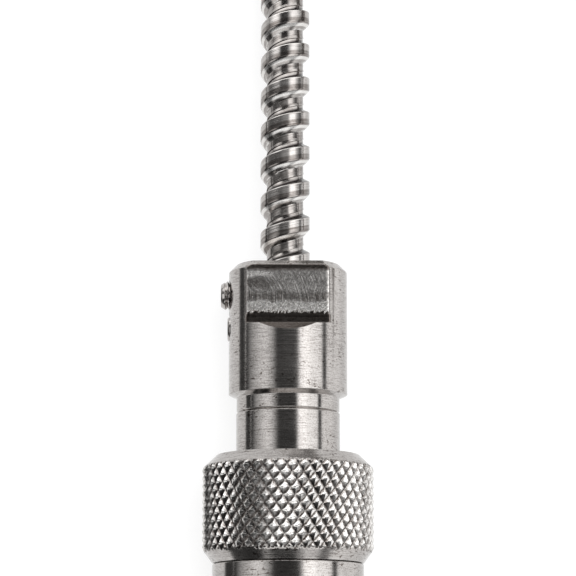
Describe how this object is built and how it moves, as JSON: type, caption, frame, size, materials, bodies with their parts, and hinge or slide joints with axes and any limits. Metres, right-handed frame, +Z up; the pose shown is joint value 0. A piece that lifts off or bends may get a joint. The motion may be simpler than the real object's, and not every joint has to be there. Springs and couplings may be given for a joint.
{
  "type": "cable shutter release",
  "caption": "Metal-armoured cable shutter release with sprung plunger, turning knurled lock ring, coiled strip-wound sheath and swivelling tapered-thread tip with sliding pin.",
  "frame": {"origin": "middle of the hand end's bounding box, on the surface that its lock ring and rear cap lie on", "axes": "+Y along the hand end's axis towards the sheath, +Z up, set screws on the -X side"},
  "size_m": [0.0661, 0.1746, 0.017],
  "materials": {
    "turned_steel": "turned stainless steel with fine tool lines",
    "knurled_steel": "stainless steel, diamond knurled",
    "sheath_steel": "rolled stainless strip, bright",
    "screw_steel": "blackened alloy steel",
    "polished_steel": "ground and polished steel",
    "spring_steel": "drawn spring wire",
    "wire_steel": "stranded steel wire",
    "brass": "turned brass",
    "bronze": "sintered bronze, dull",
    "rubber": "black rubber, matt"
  },
  "bodies": {
    "hand": {"clamp_body": "turned_steel", "clamp_screw_upper": "screw_steel", "clamp_screw_lower": "screw_steel", "sheath_ferrule": "brass", "guide_sleeve": "turned_steel", "snap_ring": "spring_steel", "barrel": "turned_steel", "rear_cap": "turned_steel", "rod_bush": "bronze", "bumper_washer": "rubber", "return_spring": "spring_steel", "sheath_lead": "sheath_steel", "sheath_coil": "sheath_steel", "sheath_tail": "sheath_steel", "tip_socket": "turned_steel", "tip_snap_ring": "spring_steel"},
    "lock_ring": {"lock_ring": "knurled_steel"},
    "lock_ball": {"lock_ball": "polished_steel"},
    "plunger": {"plunger_rod": "polished_steel", "thumb_button": "turned_steel", "button_pin": "screw_steel", "spring_seat": "turned_steel", "rod_clip": "spring_steel", "core_wire": "wire_steel", "wire_nipple": "brass", "nipple_pin": "screw_steel"},
    "swivel_collar": {"tip_collar": "knurled_steel"},
    "release_pin": {"release_pin": "polished_steel", "pin_sleeve": "brass", "tip_wire": "wire_steel"}
  },
  "joints": [
    {"name": "plunger_slide", "type": "slide", "parent": "hand", "child": "plunger", "axis": [0, 1, 0], "range_m": [0, 0.012], "stiffness_N_per_m": 150, "springref_m": -0.01, "deforming": ["return_spring"]},
    {"name": "tip_pin_slide", "type": "slide", "parent": "hand", "child": "release_pin", "axis": [0, -1, 0], "range_m": [0, 0.012]},
    {"name": "lock_ring_turn", "type": "hinge", "parent": "hand", "child": "lock_ring", "pos_m": [0, 0.01792, 0.0085], "axis": [0, 1, 0], "range_deg": [0, 90]},
    {"name": "lock_ball_slide", "type": "slide", "parent": "hand", "child": "lock_ball", "axis": [-1, 0, 0], "range_m": [0, 0.0005]},
    {"name": "tip_collar_spin", "type": "hinge", "parent": "hand", "child": "swivel_collar", "pos_m": [0.0526, 0.0513, 0.0045], "axis": [0, 1, 0], "continuous": true}
  ],
  "couplings": [
    {"joint": "tip_pin_slide", "follows": "plunger_slide", "ratio": 1},
    {"joint": "lock_ball_slide", "follows": "lock_ring_turn", "m_per_rad": 0.0003183}
  ]
}
